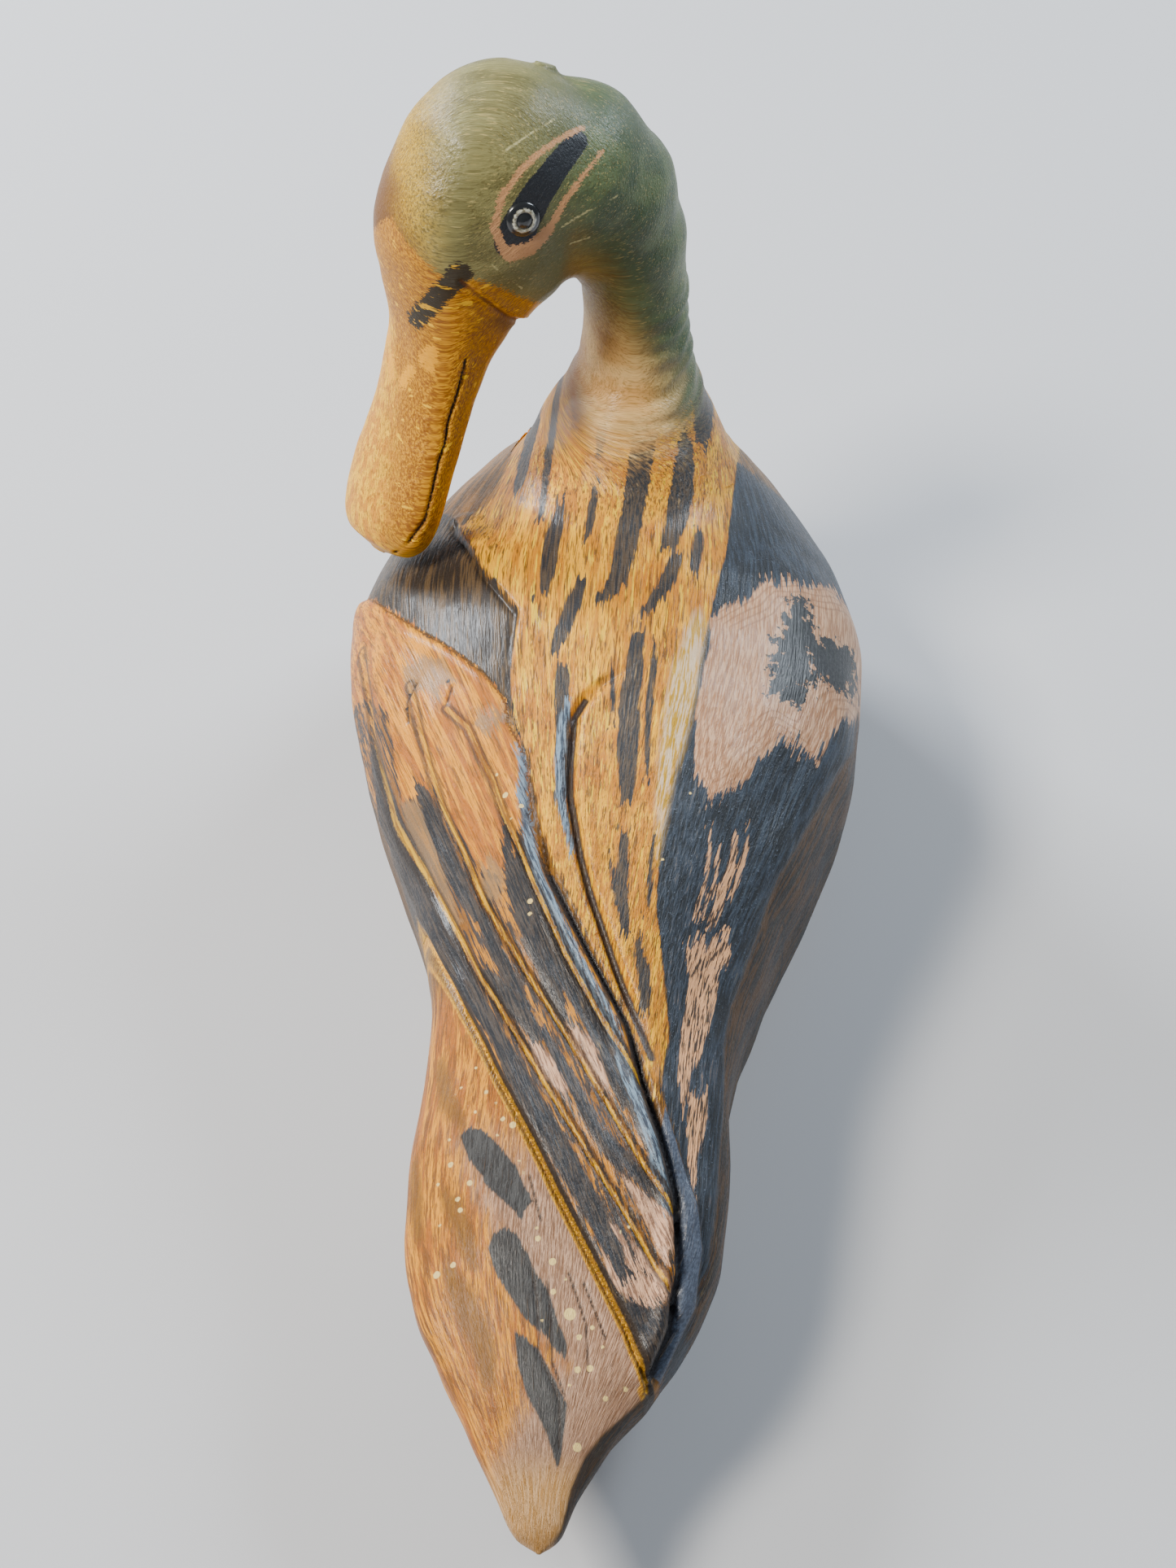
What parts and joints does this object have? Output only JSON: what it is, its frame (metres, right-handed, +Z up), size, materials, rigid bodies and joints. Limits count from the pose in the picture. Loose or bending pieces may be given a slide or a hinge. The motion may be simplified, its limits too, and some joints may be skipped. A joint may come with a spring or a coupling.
{
  "type": "floating duck decoy",
  "caption": "Carved wooden duck decoy in a preening pose: hollow body on a flat bottom board, turned head with domed eyes, ballast pad and breast ring.",
  "frame": {"origin": "on the flat underside, on the body's centre line, 130 mm behind the front of the breast", "axes": "+Y from breast to tail, +Z up, +X to the duck's left"},
  "size_m": [0.1059, 0.2584, 0.1473],
  "materials": {
    "ballast_screw_1_material": "aged",
    "ballast_screw_2_material": "aged",
    "ballast_weight_material": "dull grey lead",
    "board_screw_1_material": "aged",
    "board_screw_2_material": "aged",
    "board_screw_3_material": "aged",
    "board_screw_4_material": "aged",
    "board_screw_5_material": "aged",
    "body_shell_material": "painted and waxed",
    "bottom_board_material": "sealed",
    "eye_left_material": "glossy, painted on the back",
    "eye_right_material": "glossy, painted on the back",
    "head_and_neck_material": "painted and waxed",
    "line_tie_ring_material": "aged",
    "line_tie_staple_material": "aged",
    "neck_dowel_material": "plain",
    "neck_screw_material": "zinc plated",
    "neck_washer_material": "zinc plated"
  },
  "bodies": {
    "duck": {"ballast_screw_1": "ballast_screw_1_material", "ballast_screw_2": "ballast_screw_2_material", "ballast_weight": "ballast_weight_material", "board_screw_1": "board_screw_1_material", "board_screw_2": "board_screw_2_material", "board_screw_3": "board_screw_3_material", "board_screw_4": "board_screw_4_material", "board_screw_5": "board_screw_5_material", "body_shell": "body_shell_material", "bottom_board": "bottom_board_material", "eye_left": "eye_left_material", "eye_right": "eye_right_material", "head_and_neck": "head_and_neck_material", "line_tie_staple": "line_tie_staple_material", "neck_dowel": "neck_dowel_material", "neck_screw": "neck_screw_material", "neck_washer": "neck_washer_material"},
    "tie_ring": {"line_tie_ring": "line_tie_ring_material"}
  },
  "joints": [
    {"name": "ring_swing", "type": "hinge", "parent": "duck", "child": "tie_ring", "pos_m": [0, -0.1306, 0.019], "axis": [1, 0, 0], "range_deg": [-110, 4]}
  ]
}
